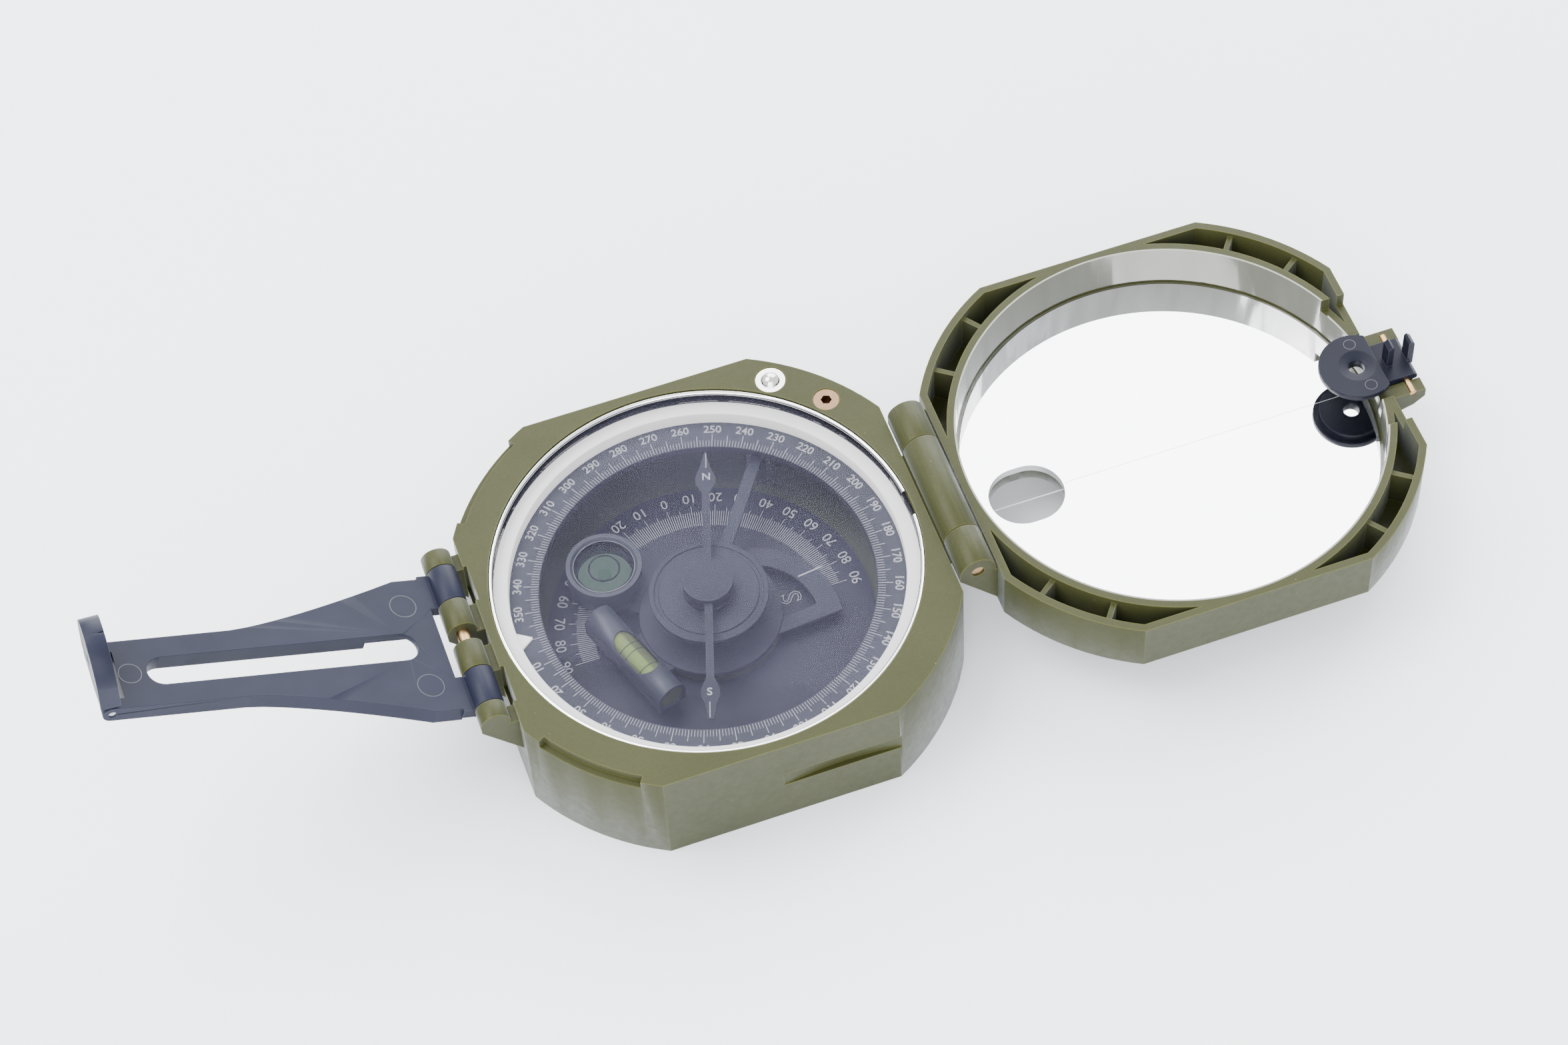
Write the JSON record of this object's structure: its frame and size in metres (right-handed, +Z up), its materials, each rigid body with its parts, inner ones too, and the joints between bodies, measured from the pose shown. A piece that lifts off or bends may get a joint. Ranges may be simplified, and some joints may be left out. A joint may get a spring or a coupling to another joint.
{
  "type": "sighting compass",
  "caption": "Pocket sighting compass with a folding mirror lid, a slotted sight arm, two fold-up sights and a clinometer under glass.",
  "frame": {"origin": "needle's axis at the bottom of the case, on the face of the clinometer lever's screw", "axes": "+X along the line of sight from the case to the opened lid, +Y to the far side of the case, +Z up out of the dial"},
  "size_m": [0.2257, 0.075, 0.0534],
  "materials": {
    "olive_plastic": "fine moulded grain, satin",
    "black_plastic": "matte",
    "dark_plastic": "matte",
    "slate_plastic": "satin",
    "white_plastic": "satin",
    "scale_print": "satin, white graduations",
    "brass": "turned",
    "steel": "turned",
    "button_metal": "polished",
    "glass": "clear",
    "mirror": "polished",
    "rubber": "matte",
    "needle_steel": "satin, light",
    "jewel": "polished",
    "tube_liquid": "clear, dyed",
    "round_liquid": "clear, dyed"
  },
  "bodies": {
    "case": {"case": "olive_plastic", "base_cover": "olive_plastic", "cover_seal": "rubber", "base_screws": "steel", "dial_plate": "dark_plastic", "dial_screws": "steel", "ring_carrier": "dark_plastic", "index_ring": "white_plastic", "glass_gasket": "rubber", "cover_glass": "glass", "retaining_ring": "steel", "shaft_bushing": "brass", "fulcrum_bracket": "steel", "fulcrum_pin": "steel", "arm_hinge_pin": "brass", "button_spring": "steel"},
    "graduated_ring": {"azimuth_ring": "scale_print"},
    "adjuster": {"adjuster_screw": "brass", "adjuster_pinion": "brass"},
    "lock_button": {"lock_button": "button_metal"},
    "lift_lever": {"lift_lever": "slate_plastic"},
    "lift_disc": {"lift_disc": "slate_plastic"},
    "needle": {"needle_bar": "needle_steel", "needle_cap": "slate_plastic", "needle_jewel": "jewel"},
    "clinometer": {"clinometer_bracket": "dark_plastic", "clinometer_shaft": "steel", "pivot_post": "steel", "friction_washer": "brass", "clinometer_lever": "black_plastic", "lever_screw": "steel", "tube_level_case": "slate_plastic", "tube_level_vial": "glass", "tube_level_liquid": "tube_liquid", "round_level_cup": "slate_plastic", "round_level_vial": "glass", "round_level_liquid": "round_liquid"},
    "lid": {"lid_shell": "olive_plastic", "lid_mirror": "mirror", "sight_line": "white_plastic", "lid_hinge_pin": "brass", "short_sight_pin": "brass"},
    "short_sight": {"short_sight": "black_plastic"},
    "sight_arm": {"sight_arm": "black_plastic", "tip_pin": "steel"},
    "tip_sight": {"tip_sight": "black_plastic"}
  },
  "joints": [
    {"name": "lid_hinge", "type": "hinge", "parent": "case", "child": "lid", "pos_m": [0.04107, 0, 0.0206], "axis": [0, -1, 0], "range_deg": [0, 180]},
    {"name": "arm_hinge", "type": "hinge", "parent": "case", "child": "sight_arm", "pos_m": [-0.0413, 0, 0.0206], "axis": [0, -1, 0], "range_deg": [-148, 20.5]},
    {"name": "tip_hinge", "type": "hinge", "parent": "sight_arm", "child": "tip_sight", "pos_m": [-0.09832, 0, 0.04], "axis": [0, 1, 0], "range_deg": [-74, 16]},
    {"name": "short_sight_hinge", "type": "hinge", "parent": "lid", "child": "short_sight", "pos_m": [0.12344, 0, 0.0164], "axis": [0, -1, 0], "range_deg": [-100, 0]},
    {"name": "ring_turn", "type": "hinge", "parent": "case", "child": "graduated_ring", "pos_m": [0, 0, 0.014], "axis": [0, 0, 1], "continuous": true},
    {"name": "adjuster_turn", "type": "hinge", "parent": "case", "child": "adjuster", "pos_m": [0.0297, 0.02466, 0.014], "axis": [0, 0, 1], "continuous": true},
    {"name": "clinometer_turn", "type": "hinge", "parent": "case", "child": "clinometer", "pos_m": [0, 0, 0.005], "axis": [0, 0, 1], "continuous": true},
    {"name": "button_press", "type": "slide", "parent": "case", "child": "lock_button", "axis": [0, 0, 1], "range_m": [-0.0004, 0], "stiffness_N_per_m": 2000, "springref_m": 0.0006, "deforming": ["button_spring"]},
    {"name": "lever_rock", "type": "hinge", "parent": "case", "child": "lift_lever", "pos_m": [0.01774, 0.02542, 0.0116], "axis": [-0.8202, 0.5721, 0], "range_deg": [0, 2.92]},
    {"name": "disc_lift", "type": "slide", "parent": "case", "child": "lift_disc", "axis": [0, 0, 1], "range_m": [0, 0.00114]},
    {"name": "needle_turn", "type": "hinge", "parent": "lift_disc", "child": "needle", "pos_m": [0, 0, 0.015], "axis": [0, 0, 1], "continuous": true}
  ],
  "couplings": [
    {"joint": "adjuster_turn", "follows": "ring_turn", "ratio": -13.846},
    {"joint": "lever_rock", "follows": "button_press", "rad_per_m": -127.06},
    {"joint": "disc_lift", "follows": "button_press", "ratio": -2.8462}
  ]
}
